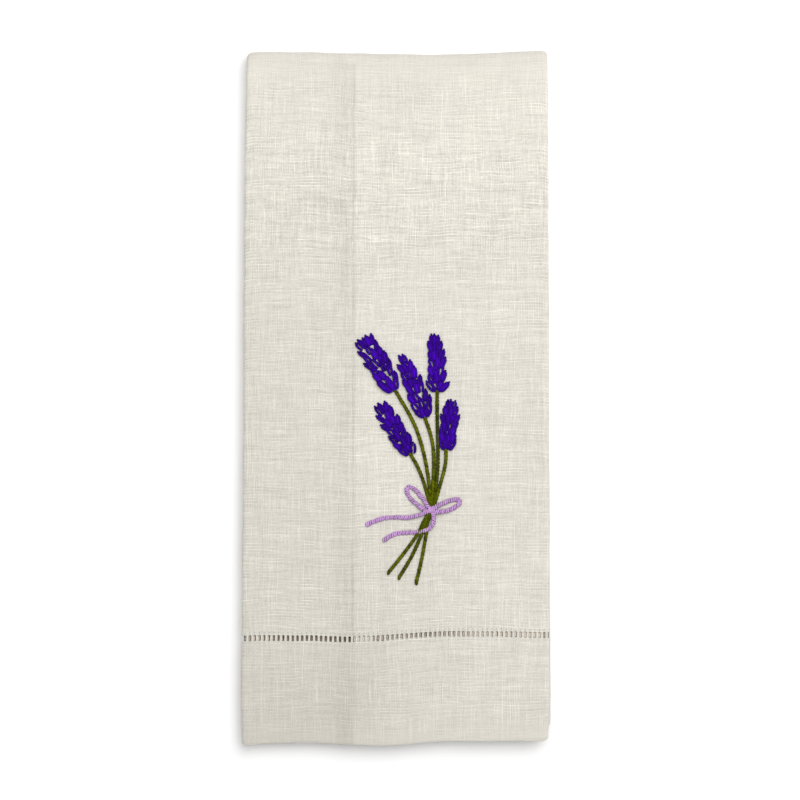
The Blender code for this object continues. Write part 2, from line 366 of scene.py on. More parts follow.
def read_table(table, key, column, value):
    """The column's sizes at these places in the table, on a smooth curve through its rows."""
    keys = np.array([row[key] for row in table]) * MM
    sizes = np.array([row[column] for row in table]) * MM
    slopes = np.empty_like(sizes)
    slopes[1:-1] = (sizes[2:] - sizes[:-2]) / (keys[2:] - keys[:-2])
    slopes[0] = (sizes[1] - sizes[0]) / (keys[1] - keys[0])
    slopes[-1] = (sizes[-1] - sizes[-2]) / (keys[-1] - keys[-2])
    value = np.clip(value, keys[0], keys[-1])
    index = np.clip(np.searchsorted(keys, value), 1, len(keys) - 1)
    span = keys[index] - keys[index - 1]
    t = (value - keys[index - 1]) / span
    return (
        sizes[index - 1] * (2 * t**3 - 3 * t**2 + 1)
        + slopes[index - 1] * span * (t**3 - 2 * t**2 + t)
        + sizes[index] * (3 * t**2 - 2 * t**3)
        + slopes[index] * span * (t**3 - t**2)
    )


def waves(x, y, size, height, seed):
    """Soft random waves of about this size, up to this height each way."""
    lattice = np.random.default_rng(seed).uniform(-1, 1, (96, 96))
    column, row = x / size + 40, y / size + 40
    i, j = np.floor(column).astype(int), np.floor(row).astype(int)
    fx, fy = smooth(column - i), smooth(row - j)
    i, j = i % 95, j % 95
    low = lattice[i, j] * (1 - fx) + lattice[i + 1, j] * fx
    high = lattice[i, j + 1] * (1 - fx) + lattice[i + 1, j + 1] * fx
    return height * (low * (1 - fy) + high * fy)


def side_edges(y, below):
    """The folded strip's left and right edge at height y, part of the way from the face to the half below."""
    found = []
    for side in ("left", "right"):
        face = read_table(SIDE_EDGES, "y", side, y)
        underneath = read_table(SIDE_EDGES, "y", side + "_below", y)
        wander = waves(y, np.full_like(y, len(side) * SIDE_WANDER_ROW), **EDGE_WANDER)
        found.append(face + (underneath - face) * below + wander)
    return found


def rise(x, crease):
    """0 beside the right flap and 1 over it."""
    return smooth((x - crease + CREASE_WIDTH) / CREASE_WIDTH)


def outer_half():
    """From the middle of the stack to the middle of its outermost ply, over the right flap."""
    return (STACK_HEIGHT - bpy.context.scene.towel_cloth.thickness) / 2


def half_stack(x, y, left, right, crease):
    to_side = np.maximum(0.0, np.minimum(x - left, right - x))
    to_top = np.maximum(0.0, read_table(END_EDGES, "x", "top", x - left) - y)
    return (
        outer_half()
        - STACK_DROP / 2 * (1 - rise(x, crease))
        + SIDE_SWELL * np.exp(-to_side / SWELL_REACH)
        + TOP_SWELL * np.exp(-to_top / SWELL_REACH)
    )


def fold_axes(y, below):
    """Left edge, right edge, the two side folds' axes and the crease over the right flap's free edge."""
    thickness = bpy.context.scene.towel_cloth.thickness
    left, right = side_edges(y, below)
    right_axis = right - thickness / 2 - outer_half() * (FACE_DEPTH - RIGHT_FLAP_DEPTH) / 2
    low_half = outer_half() - STACK_DROP / 2
    left_axis = left + thickness / 2 + low_half * (FACE_DEPTH - LEFT_FLAP_DEPTH_LOW) / 2
    return left, right, left_axis, right_axis, right_axis - RIGHT_FLAP


def relief(x, y, left, right, crease):
    """How far the face stands above or below the smooth stack."""
    found = waves(x, y, **BROAD_WAVES) + waves(x, y, **SMALL_WAVES)
    over_flap = smooth((x - crease) / FLAP_HEM_RIDGE["crease_side"])
    over_flap = over_flap * smooth((crease + FLAP_HEM_RIDGE["width"] - x) / FLAP_HEM_RIDGE["far_side"])
    found = found + FLAP_HEM_RIDGE["height"] * over_flap
    beside = (x - crease - FLAP_EDGE_GROOVE["beside"]) / FLAP_EDGE_GROOVE["width"]
    found = found - FLAP_EDGE_GROOVE["depth"] * np.exp(-(beside**2))
    for row in CREASES:
        start = np.array((row["x1"], row["y1"])) * MM
        run = np.array((row["x2"], row["y2"])) * MM - start
        share = np.clip(((x - start[0]) * run[0] + (y - start[1]) * run[1]) / (run @ run), 0, 1)
        away = np.hypot(x - start[0] - run[0] * share, y - start[1] - run[1] * share)
        found = found + row["height"] * MM * np.exp(-((away / row["width"] / MM) ** 2))
    return found * smooth(np.minimum(x - left, right - x) / SIDE_FADE)


def corner(x, left, right):
    """0 away from the side folds and 1 at them."""
    to_side = np.minimum(x - left, right - x)
    return (1 - np.clip(to_side / CORNER_REACH, 0, 1)) ** 2


def middle(across, along):
    """Where points of the cloth's middle lie once it is folded."""
    cloth = bpy.context.scene.towel_cloth
    across, along = np.broadcast_arrays(np.asarray(across, float), np.asarray(along, float))
    top_row = float(read_table(END_EDGES, "x", "top", cloth.width / 6))
    hem_row = float(read_table(END_EDGES, "x", "hem", cloth.width / 6))
    front = along < FRONT
    turning = (along >= FRONT) & (along < FRONT + TOP_FOLD)
    turn = np.clip((along - FRONT) / TOP_FOLD, 0, 1)
    behind = np.clip((along - FRONT - TOP_FOLD) / (cloth.length - FRONT - TOP_FOLD), 0, 1)
    axis_row = top_row - outer_half()
    rough_y = np.where(front, hem_row + (axis_row - hem_row) * along / FRONT, axis_row)
    rough_y = np.where(front | turning, rough_y, axis_row + (BACK_EDGE - axis_row) * behind)
    left, right, left_axis, right_axis, crease = fold_axes(rough_y, turn)

    stretch = np.searchsorted(STARTS, across, side="right")
    right_bend = np.pi * (across - STARTS[0]) / RIGHT_FOLD
    left_bend = np.pi * (across - STARTS[2]) / LEFT_FOLD
    left_share = (across - LEFT_FLAP_START) / (cloth.width - LEFT_FLAP_START)
    right_radius = (FACE_DEPTH - RIGHT_FLAP_DEPTH) / 2
    left_radius = (FACE_DEPTH - LEFT_FLAP_DEPTH_LOW) / 2
    right_half = half_stack(right_axis, rough_y, left, right, crease)
    left_half = half_stack(left_axis, rough_y, left, right, crease)
    flap_x = left_axis + (right_axis - TUCK - left_axis) * left_share
    ladder_middle = cloth.hem_depth + cloth.ladder_height / 2
    off_ladder = abs(along - ladder_middle) - FLAP_LIFT["level"]
    at_ladder = smooth(1 - off_ladder / (FLAP_LIFT["reach"] - FLAP_LIFT["level"]))
    past_hem = smooth((across - cloth.side_hem) / HEM_FADE)
    over_hem = FLAP_LIFT["side_hem"] + (FLAP_LIFT["right"] - FLAP_LIFT["side_hem"]) * past_hem
    right_lift = over_hem * at_ladder * smooth((RIGHT_FLAP - across) / FOLD_FADE)
    off_left_fold = smooth((flap_x - left_axis) / FOLD_FADE)
    left_lift = FLAP_LIFT["left"] * at_ladder * off_left_fold
    left_depth = LEFT_FLAP_DEPTH_LOW + (LEFT_FLAP_DEPTH - LEFT_FLAP_DEPTH_LOW) * rise(flap_x, crease)
    off_row = (abs(rough_y - LADDER_ROW) - FLAP_LIFT["level"]) / (FLAP_LIFT["reach"] - FLAP_LIFT["level"])
    under_ladder = (turn == 1) * smooth(1 - off_row) * off_left_fold
    left_depth = left_depth + (BELOW_LADDER - left_depth) * under_ladder
    choices = (
        (crease + across, RIGHT_FLAP_DEPTH + right_lift),
        (
            right_axis + right_radius * right_half * np.sin(right_bend),
            RIGHT_FLAP_DEPTH + right_radius * (1 - np.cos(right_bend)),
        ),
        (
            right_axis + (left_axis - right_axis) * (across - FACE_START) / FACE,
            np.full_like(across, FACE_DEPTH),
        ),
        (
            left_axis - left_radius * left_half * np.sin(left_bend),
            FACE_DEPTH - left_radius * (1 - np.cos(left_bend)),
        ),
        (flap_x, left_depth + left_lift),
    )
    x = np.choose(stretch, [choice[0] for choice in choices])
    depth = np.choose(stretch, [choice[1] for choice in choices])
    half = half_stack(np.clip(x, left_axis, right_axis), rough_y, left, right, crease)

    wander = waves(x, along * 0 + END_WANDER_ROW, **EDGE_WANDER)
    rounding = corner(x, left, right)
    hem_edge = read_table(END_EDGES, "x", "hem", x - left)
    stretched = (read_table(END_EDGES, "x", "ladder", x - left) - hem_edge) / ladder_middle
    hem_edge = hem_edge + wander + HEM_CORNER * rounding * np.exp(-along / HEM_CORNER_FADE)
    axis_y = read_table(END_EDGES, "x", "top", x - left) - cloth.thickness / 2 - half
    axis_y = axis_y + wander - TOP_CORNER * rounding
    radius = depth * half
    stack_middle = cloth.thickness / 2 + half
    hem_top = cloth.hem_depth + cloth.ladder_height
    on_hem = along < hem_top
    front_y = np.where(
        on_hem,
        hem_edge + along * stretched,
        hem_edge + hem_top * stretched
        + (axis_y - hem_edge - hem_top * stretched) * (along - hem_top) / (FRONT - hem_top),
    )
    skew = FLAP_SKEW["by"] * smooth(across / FLAP_SKEW["edge"])
    skew = skew * smooth((RIGHT_FLAP - across) / FLAP_SKEW["fold"])
    front_y = front_y + skew * smooth((ladder_middle + FLAP_SKEW["above"] - along) / FLAP_SKEW["fade"])
    back_end = BACK_EDGE - np.pi * (half - radius)
    y = np.where(front, front_y, np.where(turning, axis_y + radius * np.sin(np.pi * turn), 0.0))
    y = np.where(front | turning, y, axis_y + (back_end - axis_y) * behind)
    z = stack_middle + radius * np.cos(np.pi * turn)
    lifted = relief(x, y, left, right, crease) * depth * smooth((FRONT - along) / TOP_FADE)
    return np.stack((x, y, z + lifted), axis=-1)


def on_cloth(across, along, lift=0.0):
    """Where points of the folded cloth lie, this far off its middle."""
    near = 0.02 * MM  # how far apart the slopes are read
    length_step = middle(across, along + near) - middle(across, along - near)
    width_step = middle(across + near, along) - middle(across - near, along)
    normal = np.cross(length_step, width_step)
    normal /= np.maximum(np.linalg.norm(normal, axis=-1, keepdims=True), 1e-12)
    return middle(across, along) + normal * np.asarray(lift)[..., None]


def on_face(points, lift):
    """Where points of the face lie, given as X and Y, this far above the cloth's upper side."""
    x, y = points[..., 0], points[..., 1]
    left, right, left_axis, right_axis, crease = fold_axes(y, 0.0 * y)
    half = half_stack(x, y, left, right, crease)
    z = bpy.context.scene.towel_cloth.thickness + 2 * half + relief(x, y, left, right, crease)
    return np.stack((x, y, z + lift), axis=-1)


# Meshes from grids of points


def grids_mesh(name, blocks, join=0.0):
    """One mesh of blocks of equal grids, each with points (grid, row, column), place (UV, in metres) and
    shade. Points that lie nearer than join become one.
    """
    shape = bmesh.new()
    for block in blocks:
        grids, rows, columns = block["points"].shape[:3]
        segments = {"x_segments": columns - 1, "y_segments": grids * rows - 1}
        made = bmesh.ops.create_grid(shape, size=1.0, **segments)["verts"]
        joints = []
        for first in range(rows * columns, grids * rows * columns, rows * columns):
            joints += [shape.edges.get((made[i - columns], made[i])) for i in range(first, first + columns)]
        bmesh.ops.delete(shape, geom=joints, context="EDGES")
    mesh = bpy.data.meshes.new(name)
    shape.to_mesh(mesh)
    shape.clear()
    places = np.concatenate([block["points"].reshape(-1, 3) for block in blocks])
    mesh.vertices.foreach_set("co", places.astype(np.float32).ravel())
    corners = np.empty(len(mesh.loops), np.int32)
    mesh.loops.foreach_get("vertex_index", corners)
    places = np.concatenate([block["place"].reshape(-1, 2) for block in blocks])
    mesh.uv_layers.new(name="place").data.foreach_set("uv", places[corners].astype(np.float32).ravel())
    shades = [np.broadcast_to(block["shade"], block["points"].shape[:3]).ravel() for block in blocks]
    layer = mesh.attributes.new("shade", "FLOAT", "POINT")
    layer.data.foreach_set("value", np.concatenate(shades).astype(np.float32))
    shape.from_mesh(mesh)
    if join:
        bmesh.ops.remove_doubles(shape, verts=shape.verts, dist=join)
    bmesh.ops.recalc_face_normals(shape, faces=shape.faces)
    for edge in shape.edges:
        edge.smooth = not edge.is_boundary
    shape.to_mesh(mesh)
    shape.free()
    mesh.shade_smooth()
    return mesh


def add_piece(name, mesh, material):
    piece = bpy.data.objects.new(name, mesh)
    bpy.context.scene.collection.objects.link(piece)
    mesh.materials.append(material)
    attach(piece, "root")
    return piece


def sew(name, blocks, material):
    """Adds a piece of thread, made of these blocks of strands."""
    add_piece(name, grids_mesh(name, blocks, join=JOIN), material)


def unit(vectors):
    return vectors / np.maximum(np.linalg.norm(vectors, axis=-1, keepdims=True), 1e-12)


def laid(points, radius, up=(0.0, 0.0, 1.0), shade=1.0, flat=1.0, sides=8, blunt=0.7, edge=0.7, end=1.0):
    """A block of thread strands, one along each row of points: flat times as high as wide, with rounded ends.

    Its shade is a tone for each strand, with painted shade down to edge along a strand's sides and down to
    end at its ends.
    """
    points = np.asarray(points, float)
    strands, rings = points.shape[:2]
    tangent = unit(np.gradient(points, axis=1))
    side = unit(np.cross(tangent, up))
    above = np.cross(side, tangent)
    taper = np.ones(rings)
    taper[[1, -2]] = blunt
    taper[[0, -1]] = 0.0
    radius = np.broadcast_to(np.asarray(radius, float), (strands, rings))
    turn = np.linspace(0, 2 * math.pi, sides + 1)
    reach = (radius * taper)[..., None, None]
    ring = points[:, :, None, :] + reach * (
        side[:, :, None, :] * np.cos(turn)[:, None] + above[:, :, None, :] * flat * np.sin(turn)[:, None]
    )
    steps = np.linalg.norm(np.diff(points, axis=1), axis=2)
    along = np.concatenate((np.zeros((strands, 1)), np.cumsum(steps, axis=1)), axis=1)
    place = np.stack(np.broadcast_arrays(radius.max() * turn, along[:, :, None]), axis=-1)
    over = edge + (1 - edge) * np.clip(np.sin(turn), 0, 1)
    last = np.minimum(1, end + (1 - end) * np.minimum(np.arange(rings), np.arange(rings)[::-1])[:, None] / 2)
    return {"points": ring, "place": place, "shade": np.reshape(shade, (-1, 1, 1)) * over * last}


def smooth_path(points, step):
    """Points every step or so along a smooth curve through these points."""
    points = np.asarray(points, float)
    padded = np.vstack((2 * points[0] - points[1], points, 2 * points[-1] - points[-2]))
    found = []
    for index in range(1, len(padded) - 2):
        before, start, end, after = padded[index - 1 : index + 3]
        count = max(2, int(np.linalg.norm(end - start) / step) + 1)
        t = np.linspace(0, 1, count, endpoint=False)[:, None]
        found.append(
            0.5
            * (
                2 * start
                + (end - before) * t
                + (2 * before - 5 * start + 4 * end - after) * t**2
                + (3 * start - before - 3 * end + after) * t**3
            )
        )
    found.append(points[-1:])
    return np.vstack(found)


def walk(path, distances):
    """Points at these distances along a path, and the path's sideways direction there."""
    steps = np.linalg.norm(np.diff(path, axis=0), axis=1)
    at = np.concatenate(((0.0,), np.cumsum(steps)))
    distances = np.clip(distances, 0.0, at[-1])
    slope = np.gradient(path, at, axis=0)
    points = np.stack([np.interp(distances, at, path[:, axis]) for axis in range(2)], axis=-1)
    tangent = unit(np.stack([np.interp(distances, at, slope[:, axis]) for axis in range(2)], axis=-1))
    return points, np.stack((-tangent[..., 1], tangent[..., 0]), axis=-1)


def path_length(path):
    return float(np.linalg.norm(np.diff(path, axis=0), axis=1).sum())


# Materials


def put(tree, kind, **settings):
    made = tree.nodes.new(kind)
    for name, value in settings.items():
        setattr(made, name, value)
    return made


def feed(tree, socket, value):
    """Sets a socket to a number, or links it to another socket."""
    if isinstance(value, bpy.types.NodeSocket):
        tree.links.new(value, socket)
    else:
        socket.default_value = value


def set_inputs(node, values):
    for name, value in values.items():
        node.inputs[name].default_value = value


def calc(tree, operation, *values):
    made = put(tree, "ShaderNodeMath", operation=operation)
    for socket, value in zip(made.inputs, values):
        feed(tree, socket, value)
    return made.outputs[0]


def plus(tree, first, second):
    return calc(tree, "ADD", first, second)


def minus(tree, first, second):
    return calc(tree, "SUBTRACT", first, second)


def times(tree, first, second):
    return calc(tree, "MULTIPLY", first, second)


def times_plus(tree, first, second, third):
    return calc(tree, "MULTIPLY_ADD", first, second, third)


def point(tree, x, y):
    made = put(tree, "ShaderNodeCombineXYZ")
    feed(tree, made.inputs[0], x)
    feed(tree, made.inputs[1], y)
    return made.outputs[0]


def split(tree, place):
    """The X and Y of a place."""
    made = put(tree, "ShaderNodeSeparateXYZ")
    feed(tree, made.inputs[0], place)
    return made.outputs[0], made.outputs[1]


def noise_at(tree, place, scale=1.0, detail=1.0):
    made = put(tree, "ShaderNodeTexNoise", noise_dimensions="2D")
    set_inputs(made, {"Scale": scale, "Detail": detail})
    feed(tree, made.inputs["Vector"], place)
    return made.outputs["Fac"]


def ramp(tree, value, low, high, to_low=0.0, to_high=1.0):
    made = put(tree, "ShaderNodeMapRange", interpolation_type="SMOOTHSTEP")
    set_inputs(made, {"From Min": low, "From Max": high, "To Min": to_low, "To Max": to_high})
    feed(tree, made.inputs["Value"], value)
    return made.outputs[0]


def new_group(name, *numbers):
    """A shader node group from a place and these numbers to a tint and a height, and its two end nodes."""
    group = bpy.data.node_groups.new(name, "ShaderNodeTree")
    group.interface.new_socket("Place", in_out="INPUT", socket_type="NodeSocketVector")
    for label in numbers:
        group.interface.new_socket(label, in_out="INPUT", socket_type="NodeSocketFloat")
    for label in ("Tint", "Height"):
        group.interface.new_socket(label, in_out="OUTPUT", socket_type="NodeSocketFloat")
    start = group.nodes.new("NodeGroupInput")
    end = group.nodes.new("NodeGroupOutput")
    return group, start.outputs, end.inputs


def yarns(tree, place, run, pitch, offset):
    """What the weave needs to know of the yarns that run one way: run is the axis that counts them."""
    x, y = split(tree, place)
    position, other = ((x, y), (y, x))[run]
    wander = times(tree, noise_at(tree, place, YARN_WANDER["scale"]), YARN_WANDER["yarns"])
    count = plus(tree, calc(tree, "DIVIDE", position, pitch), wander)
    index = calc(tree, "FLOOR", count)
    lane = times_plus(tree, index, LANE_STEP, offset)
    streak = noise_at(tree, point(tree, lane, times(tree, other, STREAKS["scale"])), detail=2.0)
    slub = noise_at(tree, point(tree, lane, times(tree, other, SLUBS["scale"])), detail=0.0)
    odd = times_plus(tree, calc(tree, "FRACT", times(tree, index, 0.5)), 4.0, -1.0)
    patch = noise_at(tree, point(tree, plus(tree, x, offset), y), PAIRS["scale"])
    off_middle = times_plus(tree, calc(tree, "FRACT", count), 2.0, -1.0)
    return {
        "count": count,
        "index": index,
        "streak": streak,
        "slub": ramp(tree, slub, SLUBS["from"], SLUBS["to"]),
        "pairs": times(tree, odd, ramp(tree, patch, PAIRS["from"], PAIRS["to"])),
        "profile": minus(tree, 1.0, calc(tree, "POWER", off_middle, 2.0)),
    }


def weave_group():
    """Plain weave of uneven linen threads: tint is near 1, with painted shade in the openings between yarns,
    and height is from 0 to 1.
    """
    cloth = bpy.context.scene.towel_cloth
    tree, given, wanted = new_group("Linen weave", "Streaks", "Slubs", "Pairs", "Grain")
    warp = yarns(tree, given["Place"], 0, cloth.warp_pitch, WARP_OFFSET)
    weft = yarns(tree, given["Place"], 1, cloth.weft_pitch, WEFT_OFFSET)
    over = []
    for thread, across, sign in ((warp, weft, 0.5), (weft, warp, -0.5)):
        turn = plus(tree, minus(tree, across["count"], 0.5), thread["index"])
        wave = calc(tree, "COSINE", times(tree, turn, math.pi))
        over.append(times(tree, thread["profile"], times_plus(tree, wave, sign, 0.5)))
    slubs = calc(tree, "MAXIMUM", warp["slub"], weft["slub"])
    streaks = minus(tree, times_plus(tree, weft["streak"], STREAKS["weft"], warp["streak"]), STREAKS["mean"])
    pairs = plus(tree, warp["pairs"], weft["pairs"])
    crossing = [times(tree, thread["index"], step) for thread, step in zip((warp, weft), CROSSING_STEPS)]
    grain = minus(tree, noise_at(tree, point(tree, *crossing), detail=0.0), 0.5)
    opening = times(tree, minus(tree, 1.0, warp["profile"]), minus(tree, 1.0, weft["profile"]))
    tint = times_plus(tree, streaks, given["Streaks"], 1.0)
    tint = times_plus(tree, slubs, given["Slubs"], tint)
    tint = times_plus(tree, pairs, given["Pairs"], tint)
    tint = times_plus(tree, grain, given["Grain"], tint)
    tint = times_plus(tree, opening, -OPENING_SHADE, tint)
    along = split(tree, given["Place"])[1]
    contrast = WEAVE_CONTRAST
    for band in WEAVE_BANDS:
        change = ramp(tree, along, band["from"] * MM, band["to"] * MM, band["low"], band["high"])
        contrast = times(tree, change, contrast)
    feed(tree, wanted["Tint"], times_plus(tree, minus(tree, tint, 1.0), contrast, 1.0))
    top = calc(tree, "MAXIMUM", *over)
    feed(tree, wanted["Height"], times_plus(tree, slubs, SLUBS["height"], top))
    return tree


def floss_group():
    """Twisted filaments of a laid thread: height is from 0 to 1, and tint is near 1, following the height:
    partly random unevenness, partly painted shade in the grooves between filaments.
    """
    tree, given, wanted = new_group("Twisted floss", "Twist", "Filaments", "Contrast")
    x, y = split(tree, given["Place"])
    slant = times_plus(tree, y, given["Twist"], x)
    lane = calc(tree, "DIVIDE", slant, times(tree, given["Filaments"], MM))
    fine = times_plus(tree, calc(tree, "SINE", times(tree, lane, 2 * math.pi)), 0.5, 0.5)
    fleck = point(tree, times(tree, lane, FLOSS_GRAIN["lane"]), times(tree, y, FLOSS_GRAIN["scale"]))
    lone = noise_at(tree, fleck, detail=2.0)
    height = times_plus(tree, lone, FLOSS_GRAIN["uneven"], times(tree, fine, FLOSS_GRAIN["round"]))
    tint = times_plus(tree, minus(tree, height, FLOSS_GRAIN["mean"]), given["Contrast"], 1.0)
    feed(tree, wanted["Height"], height)
    feed(tree, wanted["Tint"], tint)
    return tree


def new_material(name, base, group, values, bump, finish, extra_tint=None):
    """A cloth or thread material: the group's tint on the base colour, its height as bump.

    The base is a colour, or a function that makes one from the tree and the place.
    """
    material = bpy.data.materials.new(name)
    material.use_nodes = True
    tree = material.node_tree
    shader = tree.nodes["Principled BSDF"]
    place = put(tree, "ShaderNodeUVMap", uv_map="place").outputs[0]
    shade = put(tree, "ShaderNodeAttribute", attribute_name="shade")
    pattern = put(tree, "ShaderNodeGroup", node_tree=group)
    feed(tree, pattern.inputs["Place"], place)
    set_inputs(pattern, values)
    tint = times(tree, pattern.outputs["Tint"], shade.outputs["Fac"])
    if extra_tint:
        tint = times(tree, tint, extra_tint(tree, place))
    grey = put(tree, "ShaderNodeCombineColor")
    for socket in grey.inputs:
        feed(tree, socket, tint)
    mixed = put(tree, "ShaderNodeMix", data_type="RGBA", blend_type="MULTIPLY")
    set_inputs(mixed, {"Factor": 1.0})
    feed(tree, mixed.inputs["A"], base(tree, place) if callable(base) else (*base, 1.0))
    feed(tree, mixed.inputs["B"], grey.outputs[0])
    feed(tree, shader.inputs["Base Color"], mixed.outputs["Result"])
    raised = put(tree, "ShaderNodeBump")
    set_inputs(raised, {"Strength": 1.0, "Distance": bump})
    feed(tree, raised.inputs["Height"], pattern.outputs["Height"])
    feed(tree, shader.inputs["Normal"], raised.outputs[0])
    set_inputs(shader, finish)
    return material


def linen_material(name, values):
    finish = {"Roughness": 0.9, "Specular IOR Level": 0.3, "Sheen Weight": 0.1, "Sheen Roughness": 0.5}
    group = bpy.data.node_groups.get("Linen weave") or weave_group()
    return new_material(name, linen_colour, group, values, LINEN_BUMP, finish, pierced_row)


def floss_material(name, base, twist, contrast):
    values = {"Twist": twist, "Filaments": FILAMENT, "Contrast": contrast}
    finish = {"Roughness": 0.38, "Specular IOR Level": 0.04, "Sheen Weight": 0.02, "Sheen Roughness": 0.5}
    group = bpy.data.node_groups.get("Twisted floss") or floss_group()
    return new_material(name, base, group, values, FLOSS_BUMP, finish)


def linen_colour(tree, place):
    """The linen's colour, with painted warm shade and light where layers folded in under the face show
    through the ladder.
    """
    cloth, colours = bpy.context.scene.towel_cloth, bpy.context.scene.towel_colours
    x, y = split(tree, place)
    near = 0.0
    for row in (cloth.hem_depth + cloth.ladder_height / 2, sum(UNDER_LADDER) / 2):
        away = calc(tree, "ABSOLUTE", minus(tree, y, row))
        near = calc(tree, "MAXIMUM", near, ramp(tree, away, WARM["near"], WARM["far"], 1.0, 0.0))
    near = times(tree, near, ramp(tree, x, LEFT_FLAP_START, LEFT_FLAP_START + WARM["start"]))
    edge = ramp(tree, x, cloth.width - WARM["end"], cloth.width - WARM["clear"], 1.0, 0.0)
    mixed = put(tree, "ShaderNodeMix", data_type="RGBA")
    feed(tree, mixed.inputs["Factor"], times(tree, near, edge))
    set_inputs(mixed, {"A": (*colours.linen, 1.0), "B": (*colours.warm_hole_shade, 1.0)})
    return mixed.outputs["Result"]


def pierced_row(tree, place):
    """The small holes that the hemstitch pierces, painted as dark spots of shade, one for each bundle, above
    and below the ladder.
    """
    cloth = bpy.context.scene.towel_cloth
    x, y = split(tree, place)
    lane = calc(tree, "DIVIDE", minus(tree, x, bundle_places()[0]), cloth.ladder_pitch)
    sideways = calc(tree, "ABSOLUTE", minus(tree, calc(tree, "FRACT", lane), 0.5))
    sideways = calc(tree, "POWER", times(tree, sideways, cloth.ladder_pitch), 2.0)
    found = 1.0
    for row, dark in (
        (cloth.hem_depth + cloth.ladder_height + PIERCED["beyond"], PIERCED["above"]),
        (cloth.hem_depth - PIERCED["beyond"], PIERCED["below"]),
    ):
        away = calc(tree, "POWER", calc(tree, "ABSOLUTE", minus(tree, y, row)), 2.0)
        distance = calc(tree, "SQRT", plus(tree, sideways, away))
        hole = ramp(tree, distance, PIERCED["inner"], PIERCED["outer"], 1 - dark, 1.0)
        found = times(tree, found, hole)
    return found


# The cloth


def spread(places, *steps):
    """Places from each of these up to the next, about as far apart as that stretch's step."""
    found = []
    for start, end, step in zip(places, places[1:], steps):
        found += list(np.linspace(start, end, max(1, round(abs(end - start) / step)), endpoint=False))
    return found + [places[-1]]


def hem_turn():
    """A hem's turned edge as (how far in from it, lift), from the cloth's right side round to its back."""
    turn = bpy.context.scene.towel_cloth.ply_pitch / 2
    arc = np.linspace(0, math.pi, HEM_TURN_STEPS + 1)[1:-1]
    return [(turn * (1 - math.sin(a)), -turn * (1 - math.cos(a))) for a in arc]


def columns():
    """The cloth's columns as (across, lift), from one side hem's inner edge round to the other's."""
    cloth = bpy.context.scene.towel_cloth
    turn = cloth.ply_pitch / 2
    hem = [(across, -cloth.ply_pitch) for across in spread((cloth.side_hem, turn), SIDE_HEM_STEP)]
    hem += reversed(hem_turn())
    crease = (CREASE_PLACE - CREASE_BAND, CREASE_PLACE + CREASE_BAND)
    places = (turn, cloth.side_hem, STARTS[0], STARTS[1], *crease, STARTS[2], STARTS[3])
    plain = spread(
        (*places, cloth.width - cloth.side_hem, cloth.width - turn),
        SIDE_HEM_STEP,
        HIDDEN_STEP,
        RIGHT_FOLD / FOLD_STEPS,
        FACE_STEP,
        CREASE_STEP,
        FACE_STEP,
        LEFT_FOLD / FOLD_STEPS,
        HIDDEN_STEP,
        SIDE_HEM_STEP,
    )
    far_hem = [(cloth.width - across, lift) for across, lift in reversed(hem)]
    return np.array(hem + [(across, 0.0) for across in plain] + far_hem)


def sheet_grid(across, along, shade):
    """A grid of the folded cloth from its columns and rows, each an array of (place, lift)."""
    places = np.stack(np.broadcast_arrays(across[None, :, 0], along[:, None, 0]), axis=-1)
    points = on_cloth(places[..., 0], places[..., 1], across[None, :, 1] + along[:, None, 1])
    shades = shade(places[..., 0], places[..., 1])
    return {"points": points[None], "place": places[None], "shade": shades[None]}


def painted_light(across, along):
    """Painted light: how much lighter the flaps are painted around the ladder, the nearer the folds."""
    cloth = bpy.context.scene.towel_cloth
    reach = PAINTED_LIGHT["reach"]
    away = abs(along - cloth.hem_depth - cloth.ladder_height / 2)
    right_flap = smooth((across - PAINTED_LIGHT["right"]) / reach) * (across < RIGHT_FLAP)
    left_flap = smooth((across - cloth.width + PAINTED_LIGHT["left"]) / reach)
    by_fold = smooth((LEFT_FLAP_START + PAINTED_LIGHT["fold"] - across) / reach) * (across > LEFT_FLAP_START)
    near = smooth((PAINTED_LIGHT_BAND["high"] - away) / PAINTED_LIGHT_BAND["fade"])
    return 1 + PAINTED_LIGHT["by"] * (right_flap + left_flap + by_fold) * near


def body_shade(across, along):
    """Painted light and shade: darker past the flap's edge over fewer layers, in the dip and line beside it,
    on the hem, low down and over the top; lighter up the towel, lighter or darker in soft places, lighter on
    the flaps by the ladder.
    """
    past = across - CREASE_PLACE
    beyond = smooth((past + CREASE_SOFT) / (2 * CREASE_SOFT))
    dip = beyond * (CREASE_SHADE["beyond"] + CREASE_SHADE["dip"] * smooth(1 - past / CREASE_SHADE["reach"]))
    uneven = 1 + waves(along, along * 0, **LINE_WAVES)
    line = CREASE_SHADE["line"] * uneven * np.exp(-((past / CREASE_SHADE["width"]) ** 2))
    by_hem = smooth(1 - along / HEM_SHADE["reach"]) ** 0.5
    low = (HEM_SHADE["all"] + HEM_SHADE["left"] * beyond) * by_hem
    lower = smooth((LOWER_SHADE["start"] - along) / LOWER_SHADE["reach"])
    lower = lower * smooth((across - LOWER_SHADE["across"]) / LOWER_SHADE["fade"])
    low = low + LOWER_SHADE["dip"] * lower
    for place in SOFT_PLACES:
        aside = (across / MM - place["across"]) / place["wide"]
        above = (along / MM - place["along"]) / place["high"]
        low = low - place["glow"] * np.exp(-(aside**2) - above**2)
    high = UPPER_SHADE["glow"] * smooth((along - UPPER_SHADE["start"]) / UPPER_SHADE["reach"])
    high = high - TOP_SHADE["dip"] * smooth((along - TOP_SHADE["start"]) / TOP_SHADE["reach"])
    over_face = (across > FACE_START) & (along < FRONT)
    found = np.where(over_face, 1.0 - dip - line - low, painted_light(across, along))
    return found + high * smooth((FRONT + TOP_FOLD - along) / (TOP_FOLD / 2))


